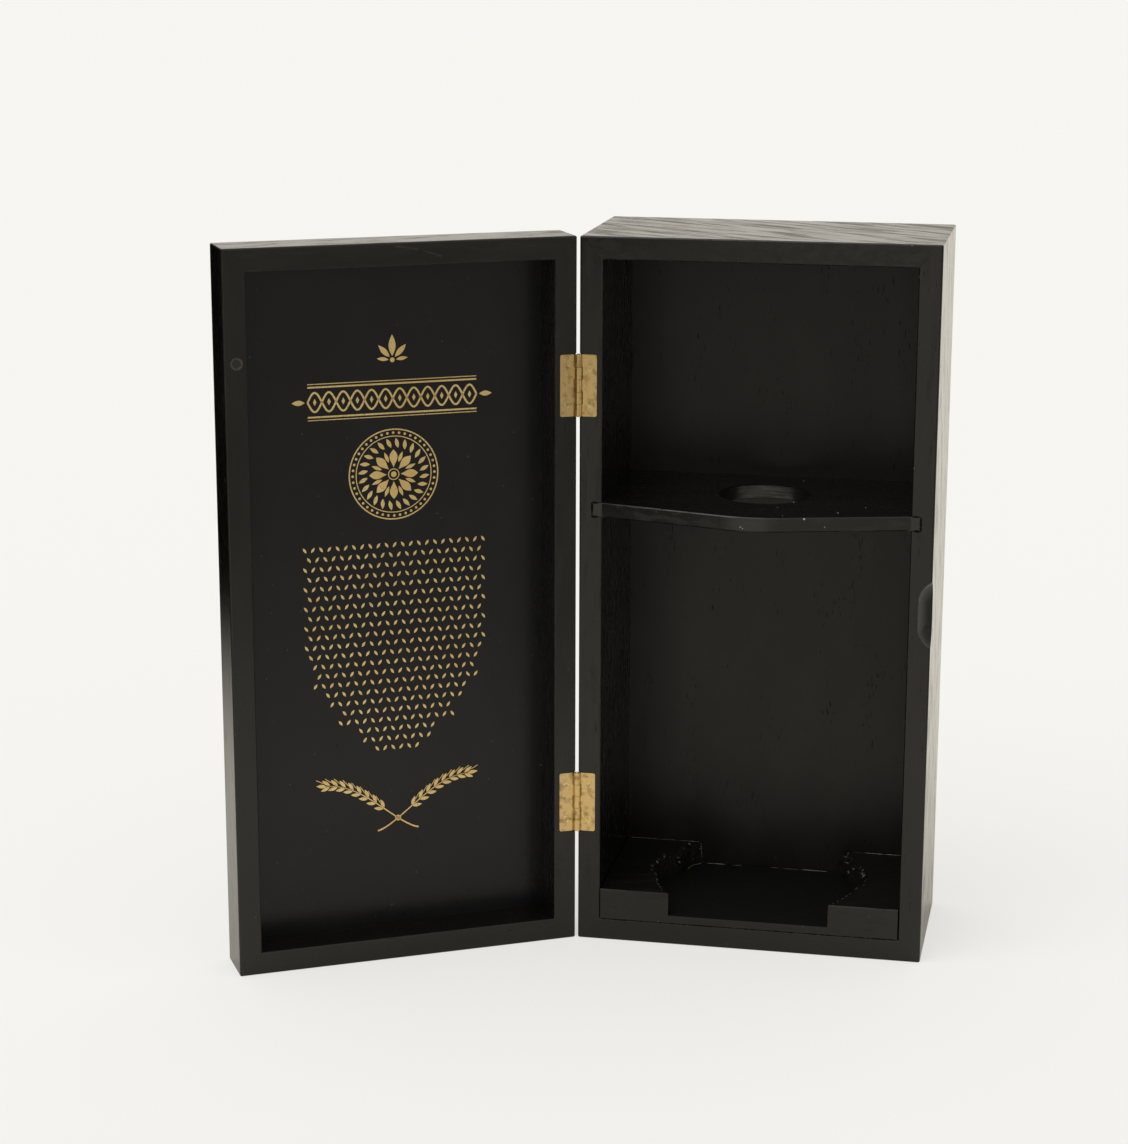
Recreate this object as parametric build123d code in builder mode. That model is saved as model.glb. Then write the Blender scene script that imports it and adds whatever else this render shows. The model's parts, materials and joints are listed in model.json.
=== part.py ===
from build123d import *
from math import asin, atan2, cos, hypot, radians, sin, sqrt, tan
import os

# A wooden presentation box for one bottle, standing open like a book. The deep base holds the bottle
# and the shallow lid swings on two butt hinges down the base's left side. X runs across the base,
# Y from its open front to its back and Z up. The origin is the middle of the base's underside.
# Sizes are millimetres and degrees.

# Overall sizes
height = 305.0
width = 148.0
base_depth = 74.0
lid_depth = 22.0
open_angle = 150.0

# Frame boards and the thin panels let into their backs
board = 9.5
arris = 0.8
mouth_easing = 0.4
panel_thickness = 3.2
panel_lip = 4.5
panel_reveal = 0.4
panel_clearance = 0.1

# Neck shelf: a bow-fronted board in grooves, with a round hole for the bottle's neck
bottle_axis_depth = 32.0
neck_hole_radius = 19.5
shelf_underside = 187.6
shelf_thickness = 6.0
shelf_groove = 4.1
shelf_nose_radius = 47.5
shelf_easing = 0.3
shelf_nose_easing = 0.4
shelf_clearance = 0.15

# Cradle: a block on the bottom board, milled with a round pocket for the bottle's foot
cradle_height = 13.5
cradle_floor = 3.5
cradle_pocket_radius = 47.0
cradle_easing = 0.4
cradle_clearance = 0.35

# Thumb scoop: a ball-ended cutter run a little way along the front arris of the latch side
scoop_length = 28.2
scoop_reach = 5.5
scoop_cutter_radius = 11.0

# Magnets in the rims of the two free edges
magnet_radius = 2.5
magnet_thickness = 2.5
magnet_inset = 5.2
magnet_end_inset = 46.0
magnet_recess = 0.15
magnet_easing = 0.15
magnet_clearance = 0.05

# Butt hinges, let into the rims; the pin line stands just outside the hinge sides
hinge_offset = 0.5
rim_gap = 0.3
hinge_length = 26.0
hinge_end_inset = 62.0
knuckle_count = 5
knuckle_gap = 0.16
barrel_radius = 1.7
pin_radius = 0.75
pin_stand = 0.3
pin_bevel = 0.25
pin_clearance = 0.05
leaf_width = 7.8
leaf_thickness = 0.9
leaf_corner = 0.8
hinge_clearance = 0.2
seat_clearance = 0.08

# Countersunk wood screws, two to a leaf
screw_pitch = 15.0
screw_line = 4.9
screw_length = 9.0
screw_radius = 0.85
screw_head_radius = 1.6
screw_head_angle = 90.0
screw_point = 2.2
screw_sink = 0.05
screw_slot_width = 0.45
screw_slot_depth = 0.4
screw_clearance = 0.05

# How far a cutting shape runs past what it cuts
overcut = 1.0

# Places worked out from the sizes
half_opening = width / 2 - board
rim_y = -base_depth / 2
bottle_axis_y = rim_y + bottle_axis_depth
panel_seat = panel_thickness + panel_reveal
inside_depth = base_depth - panel_seat
hinge_x = -width / 2 - hinge_offset
swing = radians(open_angle)
screw_head_height = (screw_head_radius - screw_radius) / tan(radians(screw_head_angle / 2))
ends = ("upper", "lower")

# Each half is drawn on the plane of its rim, seen from its open side, with X measured from the pin
# line. The base lies to the right of that line and the lid to its left, as the box stands when open.
to_right = 1
to_left = -1
base_rim = Plane(origin=(hinge_x, rim_y, 0), x_dir=(1, 0, 0), z_dir=(0, -1, 0))
lid_rim = Plane(
    origin=(hinge_x, rim_y, 0),
    x_dir=(-cos(swing), sin(swing), 0),
    z_dir=(sin(swing), cos(swing), 0),
).offset(-rim_gap)


def from_end(end, inset):
    """Height of a fitting that sits a given way in from the upper or lower end."""
    return inset if end == "lower" else height - inset


def frame_ring(rim, hand, depth):
    """A half's whole frame, with eased edges and a rabbet for its panel, before it is cut into boards."""
    middle = (hand * (hinge_offset + width / 2), height / 2)
    with BuildPart() as ring:
        with BuildSketch(rim):
            with Locations(middle):
                Rectangle(width, height)
        extrude(amount=-depth)
        fillet(ring.edges(), arris)
        with BuildSketch(rim):
            with Locations(middle):
                Rectangle(width - 2 * board, height - 2 * board)
        extrude(amount=-depth, mode=Mode.SUBTRACT)
        rim_face = ring.faces().sort_by(Axis(rim.origin, rim.z_dir))[-1]
        chamfer(rim_face.inner_wires()[0].edges(), mouth_easing)
        with BuildSketch(rim.offset(-depth)):
            with Locations(middle):
                Rectangle(width - 2 * (board - panel_lip), height - 2 * (board - panel_lip))
        extrude(amount=panel_seat, mode=Mode.SUBTRACT)
    return ring


def mitre_outline(hand, side):
    """Outline that cuts one board out of a ring. Sides count from the bottom: 0, free 1, top 2, hinge 3."""
    reach = board + overcut
    near = hinge_offset
    far = hinge_offset + width
    outer = [(near, 0), (far, 0), (far, height), (near, height)]
    out = [(-1, -1), (1, -1), (1, 1), (-1, 1)]
    corners = []
    for turn, move in ((side, overcut), (side + 1, overcut), (side + 1, -reach), (side, -reach)):
        corner = outer[turn % 4]
        away = out[turn % 4]
        corners.append((hand * (corner[0] + move * away[0]), corner[1] + move * away[1]))
    return corners


def mitred_board(ring, rim, hand, depth, side):
    """One board of a frame, mitred at both ends."""
    with BuildPart() as piece:
        with BuildSketch(rim.offset(overcut)):
            Polygon(*mitre_outline(hand, side))
        extrude(amount=-(depth + 2 * overcut))
        add(ring.part, mode=Mode.INTERSECT)
    return piece


def half_panel(rim, hand, depth):
    """The thin panel in the rabbet of a half."""
    slack = board - panel_lip + panel_clearance
    with BuildPart() as panel:
        with BuildSketch(rim.offset(-(depth - panel_seat))):
            with Locations((hand * (hinge_offset + width / 2), height / 2)):
                Rectangle(width - 2 * slack, height - 2 * slack)
        extrude(amount=-panel_thickness)
    return panel


def magnet_places(hand):
    """Magnet centres on a rim."""
    across = hand * (hinge_offset + width - magnet_inset)
    return {end: (across, from_end(end, magnet_end_inset)) for end in ends}


def magnet_seats(rim, hand):
    """Blind holes for a half's two magnets."""
    with BuildPart() as seats:
        with BuildSketch(rim.offset(overcut)):
            with Locations(*magnet_places(hand).values()):
                Circle(magnet_radius + magnet_clearance)
        extrude(amount=-(overcut + magnet_recess + magnet_thickness + magnet_clearance))
    return seats


def magnet(rim, hand, end):
    """A disc magnet, just under the rim's face."""
    with BuildPart() as disc:
        with BuildSketch(rim.offset(-magnet_recess)):
            with Locations(magnet_places(hand)[end]):
                Circle(magnet_radius)
        extrude(amount=-magnet_thickness)
        chamfer(disc.edges().sort_by(Axis(rim.origin, rim.z_dir))[-1], magnet_easing)
    return disc


def knuckle_spans(end, first, slack):
    """Bottom and top of every other knuckle, each longer than its share by the slack at both ends."""
    foot = from_end(end, hinge_end_inset) - hinge_length / 2
    share = hinge_length / knuckle_count
    spans = []
    for k in range(first, knuckle_count, 2):
        spans.append((foot + k * share - slack, foot + (k + 1) * share + slack))
    return spans


def barrel_rod(foot, top, radius, mode=Mode.ADD):
    """A round bar on the pin line, from one height to another."""
    with Locations((hinge_x, rim_y, foot)):
        Cylinder(radius, top - foot, align=(Align.CENTER, Align.CENTER, Align.MIN), mode=mode)


def screw_places(rim, hand, end):
    """Planes on a leaf's face, one at each screw, facing out of the half."""
    middle = from_end(end, hinge_end_inset)
    spots = [(hand * screw_line, middle + way * screw_pitch / 2) for way in (-1, 1)]
    return [Plane(rim.from_local_coords(spot), x_dir=rim.x_dir, z_dir=rim.z_dir) for spot in spots]


def hinge_leaf(rim, hand, end, first):
    """A leaf with its own knuckles, bored for the pin and countersunk for its screws."""
    middle = from_end(end, hinge_end_inset)
    foot = middle - hinge_length / 2
    with BuildPart() as leaf:
        with BuildSketch(rim):
            with Locations((hand * leaf_width / 2, middle)):
                RectangleRounded(leaf_width, hinge_length, leaf_corner)
        extrude(amount=-leaf_thickness)
        for low, high in knuckle_spans(end, 1 - first, knuckle_gap / 2):
            barrel_rod(low, high, barrel_radius + hinge_clearance, Mode.SUBTRACT)
        for low, high in knuckle_spans(end, first, -knuckle_gap / 2):
            barrel_rod(low, high, barrel_radius)
        barrel_rod(foot, foot + hinge_length, pin_radius + pin_clearance, Mode.SUBTRACT)
        with Locations(*screw_places(rim, hand, end)):
            CounterSinkHole(
                screw_radius + screw_clearance,
                screw_head_radius + screw_clearance,
                counter_sink_angle=screw_head_angle,
            )
    return leaf


def hinge_pin(end):
    """The pin through a hinge's knuckles, with bevelled ends."""
    foot = from_end(end, hinge_end_inset) - hinge_length / 2
    with BuildPart() as pin:
        barrel_rod(foot - pin_stand, foot + hinge_length + pin_stand, pin_radius)
        chamfer(pin.edges().filter_by(GeomType.CIRCLE), pin_bevel)
    return pin


def hinge_seats(rim, hand):
    """What a hinge side loses for both its hinges: leaf recesses, barrel notches and screw holes."""
    with BuildPart() as seats:
        for end in ends:
            middle = from_end(end, hinge_end_inset)
            half = hinge_length / 2
            with BuildSketch(rim.offset(overcut)):
                with Locations((hand * leaf_width / 2, middle)):
                    Rectangle(leaf_width + 2 * seat_clearance, hinge_length + 2 * seat_clearance)
            extrude(amount=-(overcut + leaf_thickness + seat_clearance))
            reach = half + pin_stand + hinge_clearance
            barrel_rod(middle - reach, middle + reach, barrel_radius + hinge_clearance)
            for place in screw_places(rim, hand, end):
                with BuildSketch(place.offset(overcut)):
                    Circle(screw_radius + screw_clearance)
                extrude(amount=-(overcut + screw_length + screw_clearance))
    return seats


def leaf_screws(rim, hand, end):
    """The two wood screws of a leaf: cross-slotted heads, plain shanks and turned points."""
    with BuildPart() as screws:
        for place in screw_places(rim, hand, end):
            seat = place.offset(-screw_sink)
            section = Plane(seat.origin, x_dir=seat.x_dir, z_dir=-seat.y_dir)
            with BuildSketch(section):
                with BuildLine():
                    Polyline(
                        (0, 0),
                        (screw_head_radius - screw_sink, 0),
                        (screw_radius, -screw_head_height + screw_sink),
                        (screw_radius, screw_point - screw_length),
                        (0, screw_sink - screw_length),
                        close=True,
                    )
                make_face()
            revolve(axis=Axis(seat.origin, seat.z_dir))
            with BuildSketch(seat):
                Rectangle(screw_slot_width, 2 * screw_radius)
                Rectangle(2 * screw_radius, screw_slot_width)
            extrude(amount=-screw_slot_depth, mode=Mode.SUBTRACT)
    return screws


pieces = {}

# The base's four boards
base_ring = frame_ring(base_rim, to_right, base_depth)
pieces["base_bottom_board"] = mitred_board(base_ring, base_rim, to_right, base_depth, 0)
pieces["base_top_board"] = mitred_board(base_ring, base_rim, to_right, base_depth, 2)

with BuildPart() as shelf_groove_cut:
    with BuildSketch(Plane.XY.offset(shelf_underside - shelf_clearance)):
        with Locations((0, rim_y + (inside_depth - overcut) / 2)):
            Rectangle(2 * (half_opening + shelf_groove), inside_depth + overcut)
    extrude(amount=shelf_thickness + 2 * shelf_clearance)

with BuildPart() as base_hinge_side_board:
    add(mitred_board(base_ring, base_rim, to_right, base_depth, 3).part)
    add(shelf_groove_cut.part, mode=Mode.SUBTRACT)
    add(hinge_seats(base_rim, to_right).part, mode=Mode.SUBTRACT)
pieces["base_hinge_side_board"] = base_hinge_side_board

scoop_stand_off = (sqrt(2 * scoop_cutter_radius**2 - scoop_reach**2) - scoop_reach) / 2
scoop_travel = scoop_length - 2 * sqrt(scoop_cutter_radius**2 - 2 * scoop_stand_off**2)
with BuildPart() as base_latch_side_board:
    add(mitred_board(base_ring, base_rim, to_right, base_depth, 1).part)
    add(shelf_groove_cut.part, mode=Mode.SUBTRACT)
    add(magnet_seats(base_rim, to_right).part, mode=Mode.SUBTRACT)
    with Locations((width / 2 + scoop_stand_off, rim_y - scoop_stand_off, height / 2)):
        Cylinder(scoop_cutter_radius, scoop_travel, mode=Mode.SUBTRACT)
        with Locations((0, 0, -scoop_travel / 2), (0, 0, scoop_travel / 2)):
            Sphere(scoop_cutter_radius, mode=Mode.SUBTRACT)
pieces["base_latch_side_board"] = base_latch_side_board

pieces["base_back_panel"] = half_panel(base_rim, to_right, base_depth)

# Neck shelf: its tongues run in the grooves, and its front leaves the rim at two tangents to a nose
# struck from the bottle's axis, so that it stays inside the swing of the shut lid
tongue = half_opening + shelf_groove - shelf_clearance
nose_start = half_opening - shelf_clearance
shelf_back = rim_y + inside_depth - shelf_clearance
start_to_axis = hypot(nose_start, bottle_axis_depth)
heading = atan2(bottle_axis_depth, -nose_start) + asin(shelf_nose_radius / start_to_axis)
tangent_run = sqrt(start_to_axis**2 - shelf_nose_radius**2)
tangent_x = nose_start + tangent_run * cos(heading)
tangent_y = rim_y + tangent_run * sin(heading)

with BuildPart() as neck_shelf:
    with BuildSketch(Plane.XY.offset(shelf_underside)):
        with BuildLine():
            Polyline((tangent_x, tangent_y), (nose_start, rim_y), (tongue, rim_y), (tongue, shelf_back))
            Line((tongue, shelf_back), (-tongue, shelf_back))
            Polyline((-tongue, shelf_back), (-tongue, rim_y), (-nose_start, rim_y), (-tangent_x, tangent_y))
            ThreePointArc(
                (-tangent_x, tangent_y),
                (0, bottle_axis_y - shelf_nose_radius),
                (tangent_x, tangent_y),
            )
        make_face()
        with Locations((0, bottle_axis_y)):
            Circle(neck_hole_radius, mode=Mode.SUBTRACT)
    extrude(amount=shelf_thickness)
    curved_edges = neck_shelf.edges().filter_by(GeomType.CIRCLE)
    hole_rims = curved_edges.filter_by(lambda edge: edge.radius == neck_hole_radius)
    nose_edges = neck_shelf.edges().filter_by(Plane.XY).filter_by(lambda edge: edge.center().Y < rim_y)
    chamfer(hole_rims, shelf_easing)
    chamfer(nose_edges, shelf_nose_easing)
pieces["neck_shelf"] = neck_shelf

with BuildPart() as bottle_cradle:
    cradle_depth = inside_depth - cradle_clearance
    with BuildSketch(Plane.XY.offset(board)):
        with Locations((0, rim_y + cradle_depth / 2)):
            Rectangle(2 * (half_opening - cradle_clearance), cradle_depth)
    extrude(amount=cradle_height)
    with BuildSketch(Plane.XY.offset(board + cradle_floor)):
        with Locations((0, bottle_axis_y)):
            Circle(cradle_pocket_radius)
    extrude(amount=cradle_height - cradle_floor, mode=Mode.SUBTRACT)
    chamfer(bottle_cradle.faces().filter_by(Axis.Z).group_by(Axis.Z)[-1].edges(), cradle_easing)
pieces["bottle_cradle"] = bottle_cradle

# The lid's frame and panel
lid_ring = frame_ring(lid_rim, to_left, lid_depth)
pieces["lid_bottom_rail"] = mitred_board(lid_ring, lid_rim, to_left, lid_depth, 0)
pieces["lid_top_rail"] = mitred_board(lid_ring, lid_rim, to_left, lid_depth, 2)

with BuildPart() as lid_free_stile:
    add(mitred_board(lid_ring, lid_rim, to_left, lid_depth, 1).part)
    add(magnet_seats(lid_rim, to_left).part, mode=Mode.SUBTRACT)
pieces["lid_free_stile"] = lid_free_stile

with BuildPart() as lid_hinge_stile:
    add(mitred_board(lid_ring, lid_rim, to_left, lid_depth, 3).part)
    add(hinge_seats(lid_rim, to_left).part, mode=Mode.SUBTRACT)
pieces["lid_hinge_stile"] = lid_hinge_stile

pieces["lid_panel"] = half_panel(lid_rim, to_left, lid_depth)

# Magnets and hinges, one set near each end. The base leaf has the odd knuckles and the lid leaf the even.
for end in ends:
    pieces[f"base_magnet_{end}"] = magnet(base_rim, to_right, end)
    pieces[f"lid_magnet_{end}"] = magnet(lid_rim, to_left, end)
    pieces[f"{end}_hinge_base_leaf"] = hinge_leaf(base_rim, to_right, end, 0)
    pieces[f"{end}_hinge_lid_leaf"] = hinge_leaf(lid_rim, to_left, end, 1)
    pieces[f"{end}_hinge_pin"] = hinge_pin(end)
    pieces[f"{end}_base_screws"] = leaf_screws(base_rim, to_right, end)
    pieces[f"{end}_lid_screws"] = leaf_screws(lid_rim, to_left, end)

os.makedirs("parts", exist_ok=True)
for name, piece in pieces.items():
    piece.part.label = name
    export_step(piece.part, f"parts/{name}.step")
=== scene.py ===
import json
import random
from math import cos, pi, radians, sin, sqrt

import bmesh
import bpy
from mathutils import Matrix, Vector, noise
from mathutils.bvhtree import BVHTree


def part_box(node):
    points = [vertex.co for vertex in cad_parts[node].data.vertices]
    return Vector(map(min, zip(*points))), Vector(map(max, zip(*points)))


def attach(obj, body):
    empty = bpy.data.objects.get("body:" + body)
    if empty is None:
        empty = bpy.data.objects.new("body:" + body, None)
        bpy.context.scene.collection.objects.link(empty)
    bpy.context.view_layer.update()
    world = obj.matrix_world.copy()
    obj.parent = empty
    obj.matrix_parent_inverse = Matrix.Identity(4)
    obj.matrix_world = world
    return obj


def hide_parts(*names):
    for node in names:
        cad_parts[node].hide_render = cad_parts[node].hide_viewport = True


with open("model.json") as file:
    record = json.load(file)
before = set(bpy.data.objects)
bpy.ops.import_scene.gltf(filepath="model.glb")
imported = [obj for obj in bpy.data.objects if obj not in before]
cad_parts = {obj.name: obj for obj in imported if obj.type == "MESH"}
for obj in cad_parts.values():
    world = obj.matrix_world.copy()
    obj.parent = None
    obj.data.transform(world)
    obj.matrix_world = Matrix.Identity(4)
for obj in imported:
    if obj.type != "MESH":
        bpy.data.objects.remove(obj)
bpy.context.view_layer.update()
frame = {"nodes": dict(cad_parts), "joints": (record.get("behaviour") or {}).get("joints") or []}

# A wooden box for one bottle, in black satin lacquer over open-grained wood, standing open. The frame
# holds its boards, panels, shelf, hinges and magnets. This script gives them their finishes, and adds:
# the lid's foil print, the cradle's torn wall with its splinters, chips and bare edges, the neck hole's
# drilled wall with a painted lit band and its splinters, the shelf's chips, the lacquer over the magnets,
# painted shadow in the base's open joints, a painted highlight on the thumb scoop's lip, and the studio.

MM = 0.001

# Where the two halves stand: the base square to the axes, and the lid open by the angle that shuts it
shut_angle = radians(max(frame["joints"][0]["range_deg"]))
UP = Vector((0, 0, 1))
RIGHT = Vector((1, 0, 0))
BACK = Vector((0, 1, 0))
lid_out = Vector((cos(shut_angle), -sin(shut_angle), 0))
lid_facing = Vector((sin(shut_angle), cos(shut_angle), 0))


def reach(node, direction):
    """How far a node goes along a direction, from the origin: its nearest and its furthest, in metres."""
    along = [vertex.co.dot(direction) for vertex in frame["nodes"][node].data.vertices]
    return min(along), max(along)


def settled(node, x, y, z):
    """The point on a node's surface nearest to one given in millimetres, and the normal there."""
    mesh = bmesh.new()
    mesh.from_mesh(frame["nodes"][node].data)
    spot, normal, *_ = BVHTree.FromBMesh(mesh).find_nearest(Vector((x, y, z)) * MM)
    mesh.free()
    return spot / MM, normal


# The cradle's box, and the bottle's axis, on which the cradle's pocket and the neck hole are centred
axis_setback = 32.0
cradle_low, cradle_high = (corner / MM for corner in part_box("bottle_cradle"))
bottle_axis_y = cradle_low.y + axis_setback


class Field:
    """A number that varies over a surface. Arithmetic on it adds Math nodes to its finish."""

    def __init__(self, finish, socket):
        self.finish = finish
        self.socket = socket

    def __add__(self, other):
        return self.finish.math("ADD", self, other)

    def __sub__(self, other):
        return self.finish.math("SUBTRACT", self, other)

    def __rsub__(self, other):
        return self.finish.math("SUBTRACT", other, self)

    def __mul__(self, other):
        return self.finish.math("MULTIPLY", self, other)

    def __truediv__(self, other):
        return self.finish.math("DIVIDE", self, other)

    def __pow__(self, power):
        return self.finish.math("POWER", self, power)

    __radd__ = __add__
    __rmul__ = __mul__


class Shading:
    """A node tree with one shader, and the ways to add to it. Lengths in it are millimetres."""

    def __init__(self, tree, shader):
        self.nodes = tree.nodes
        self.links = tree.links
        self.shader = tree.nodes[shader]

    def node(self, kind, settings=None, inputs=(), output=0):
        """Adds a node: first its settings, then its sockets' values or links. Gives one of its outputs."""
        made = self.nodes.new(kind)
        for word, value in (settings or {}).items():
            setattr(made, word, value)
        pairs = inputs.items() if isinstance(inputs, dict) else enumerate(inputs)
        for key, value in pairs:
            if isinstance(key, str):
                key = [socket.identifier for socket in made.inputs].index(key)
            if isinstance(value, Field):
                self.links.new(value.socket, made.inputs[key])
            else:
                made.inputs[key].default_value = value
        if isinstance(output, str):
            output = [socket.identifier for socket in made.outputs].index(output)
        return Field(self, made.outputs[output])

    def math(self, operation, *values):
        return self.node("ShaderNodeMath", {"operation": operation}, values)

    def vector(self, operation, *values, output=0):
        return self.node("ShaderNodeVectorMath", {"operation": operation}, values, output)

    def place(self):
        """Where a point is on the piece as it was at rest, in metres."""
        return self.node("ShaderNodeTexCoord", output="Object")

    def distance(self, origin, direction):
        """Millimetres from a point, measured along a direction."""
        offset = self.vector("SUBTRACT", self.place(), origin)
        return self.vector("DOT_PRODUCT", offset, direction, output=1) / MM

    def axes(self):
        """Millimetres from the origin along X, Y and Z."""
        return [self.distance(Vector(), way) for way in (RIGHT, BACK, UP)]

    def speckle(self, x, y, z, detail=2.0):
        """Soft noise from 0 to 1, one grain to each unit of x, y and z: x / 75 makes grains 75 mm long."""
        place = self.node("ShaderNodeCombineXYZ", inputs=(x, y, z))
        return self.node("ShaderNodeTexNoise", inputs={"Vector": place, "Scale": 1.0, "Detail": detail})

    def step(self, value, low, high):
        """0 below low, 1 above high, and smooth between them."""
        settings = {"interpolation_type": "SMOOTHSTEP"}
        inputs = {"Value": value, "From Min": low, "From Max": high}
        return self.node("ShaderNodeMapRange", settings, inputs)

    def ray(self, kind):
        """1 where light is followed for this kind of ray, and 0 for the others."""
        return self.node("ShaderNodeLightPath", output=kind)

    def blend(self, share, first, second):
        """A colour between two, each a colour or a field of colours."""
        colours = [c if isinstance(c, Field) else (*c, 1.0) for c in (first, second)]
        inputs = {"Factor_Float": share, "A_Color": colours[0], "B_Color": colours[1]}
        return self.node("ShaderNodeMix", {"data_type": "RGBA"}, inputs, "Result_Color")

    def relief(self, height, depth):
        """A normal for a surface that stands up to a depth in millimetres where height is 1."""
        inputs = {"Strength": 1.0, "Distance": depth * MM, "Height": height}
        return self.node("ShaderNodeBump", inputs=inputs)

    def feed(self, **fields):
        """Links fields to the shader's sockets. A socket's name has _ where it has a space."""
        for word, value in fields.items():
            self.links.new(value.socket, self.shader.inputs[word.replace("_", " ")])


class Finish(Shading):
    """A material for a surface of the box or of the studio."""

    def __init__(self, name, **constants):
        self.material = bpy.data.materials.new(name)
        self.material.use_nodes = True
        super().__init__(self.material.node_tree, "Principled BSDF")
        for word, value in constants.items():
            self.shader.inputs[word.replace("_", " ")].default_value = value


# Finishes

LACQUER = (0.0036, 0.0033, 0.0028)
COOL_LACQUER = (0.0033, 0.0035, 0.0043)
DEEP_PORE = (0.0012, 0.0011, 0.0010)
BRUISED = (0.0090, 0.0082, 0.0070)
RUBBED = (0.040, 0.031, 0.023)
THIN_STAIN = (0.046, 0.045, 0.040)
DUST = (0.32, 0.31, 0.29)
RAW_WOOD = (0.38, 0.335, 0.265)
RAW_SHADE = (0.14, 0.105, 0.07)
GRIT = (0.46, 0.45, 0.42)
WORN_GRIT = (0.12, 0.116, 0.105)
DULL_GRIT = (0.06, 0.058, 0.052)
# Pale tone of the painted highlight along the thumb scoop's lip
PAINTED_LIP_HIGHLIGHT = (0.10, 0.097, 0.088)
DEEP_GOLD = (0.76, 0.55, 0.23)
BRIGHT_GOLD = (0.88, 0.69, 0.34)
WORN_GOLD = (0.26, 0.18, 0.07)


def board_axes(finish, node, along_way, across_way):
    """Millimetres from the middle of a board, along it, across it and through it, and its half sizes."""
    fields = []
    halves = []
    for way in (along_way, across_way, along_way.cross(across_way)):
        near, far = reach(node, way)
        fields.append(finish.distance(way * (near + far) / 2, way))
        halves.append((far - near) / 2 / MM)
    return fields, halves


def scuff_mark(finish, start, end, width):
    """A rubbed streak between two points, fading sideways over its width."""
    way = end - start
    offset = finish.vector("SUBTRACT", finish.place(), start)
    ahead = finish.vector("DOT_PRODUCT", offset, way / way.length_squared, output=1)
    share = finish.node("ShaderNodeClamp", inputs=(ahead,))
    nearest = finish.node("ShaderNodeVectorMath", {"operation": "SCALE"}, {"Vector": way, "Scale": share})
    away = finish.vector("SUBTRACT", offset, nearest)
    aside = finish.vector("LENGTH", away, output=1) / MM
    return (1 - finish.step(aside, 0.0, width)) * finish.step(share, 0.0, 0.3)


def board_lacquer(
    name, node, along_way, across_way,
    ring_gap=7.0, tilt=0.16, heart=(20.0, 55.0), ringed=1.0, figure=0.16, streaks=(16, 2.4), lean=0.0,
    gloss=0.15, shine=1.46, pitting=0.35, wear=0.25, marks=(),
):
    """Black satin lacquer over open-grained wood. The growth rings stand round a heart line beside the
    board and a little out of line with it, so they cross its face as long arches. Pores open in their
    soft bands, and the arrises are rubbed."""
    finish = Finish(name, IOR=shine)
    (along, across, depth), (_, half_width, half_depth) = board_axes(finish, node, along_way, across_way)

    ring_wander = 26
    drift = finish.speckle(along / 75, across / 30, depth / 30, 2.0)
    from_heart = finish.math("SQRT", (across - heart[0]) ** 2 + (depth + heart[1]) ** 2)
    ring = finish.math("FRACT", (from_heart + tilt * along + ring_wander * drift) / ring_gap)
    soft_band = finish.step(ring, 0.0, 0.30) * (1 - finish.step(ring, 0.40, 0.80))
    long, thick = streaks
    streak = finish.speckle(along / long, (across + lean * along) / thick, depth / thick, 3.0)
    open_grain = (1 - ringed * (1 - soft_band)) * finish.step(streak, 0.42, 0.62)

    fibre = finish.speckle(along / 6, across / 0.42, depth / 0.42, 1.0)
    pore = finish.step(fibre + 0.10 * open_grain, 0.71, 0.78)
    cloud = finish.speckle(along / 55, across / 16, depth / 16, 3.0)
    speck = finish.step(finish.speckle(along * 1.1, across * 1.1, depth * 1.1, 0.0), 0.885, 0.91)
    aside = finish.math("ABSOLUTE", across) - half_width
    through = finish.math("ABSOLUTE", depth) - half_depth
    rubbing = finish.speckle(along / 9, across / 3, depth / 3, 3.0)
    arris = finish.step(finish.math("MINIMUM", aside, through) + 0.5 * rubbing, -0.45, 0.1)

    colour = finish.blend(finish.step(cloud, 0.40, 0.75) * 0.5, LACQUER, BRUISED)
    colour = finish.blend(pore, colour, DEEP_PORE)
    colour = finish.blend(arris * wear, colour, RUBBED)
    colour = finish.blend(speck * 0.35, colour, DUST)
    roughness = gloss + 0.06 * cloud + figure * open_grain + pitting * pore + wear * arris
    for start, end, width in marks:
        scuff = scuff_mark(finish, start, end, width) * finish.step(fibre, 0.25, 0.6)
        colour = finish.blend(scuff * 0.55, colour, RUBBED)
    height = 0.20 * (1 - open_grain) - pore
    finish.feed(Base_Color=colour, Roughness=roughness, Normal=finish.relief(height, 0.06 * pitting))
    return finish.material


def panel_lacquer(name, node, across_way, stain, gloss, pores, dust, cloudiness, shine):
    """Black lacquer on a thin panel whose grain stands upright, filled nearly smooth and wiped. Where
    the filler sank, short pores show in clusters."""
    finish = Finish(name, IOR=shine)
    (along, across, _), _ = board_axes(finish, node, UP, across_way)
    peel = finish.speckle(along / 1.8, across / 1.8, 0.0, 2.0)
    wipe = finish.speckle(along / 60, across / 14, 3.0, 2.0)
    cloud = finish.speckle(along / 30, across / 22, 9.0, 3.0)
    fleck = finish.speckle(along / 4.5, across / 0.55, 7.0, 1.0)
    cluster = finish.speckle(along / 30, across / 10, 11.0, 1.0)
    pore = finish.step(fleck + 0.45 * cluster, 1.0 - pores, 1.06 - pores)
    speck = finish.step(finish.speckle(along * 1.1, across * 1.1, 4.3, 0.0), 0.93 - dust, 0.95 - dust)
    colour = finish.blend(finish.step(cloud, 0.35, 0.75) * cloudiness, stain, BRUISED)
    colour = finish.blend(pore, colour, DEEP_PORE)
    colour = finish.blend(speck * 0.45, colour, DUST)
    roughness = gloss + 0.10 * wipe + 0.08 * cloud + 0.45 * pore
    height = 0.10 * peel + 0.4 * cloud - pore
    finish.feed(Base_Color=colour, Roughness=roughness, Normal=finish.relief(height, 0.025))
    return finish.material


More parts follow.
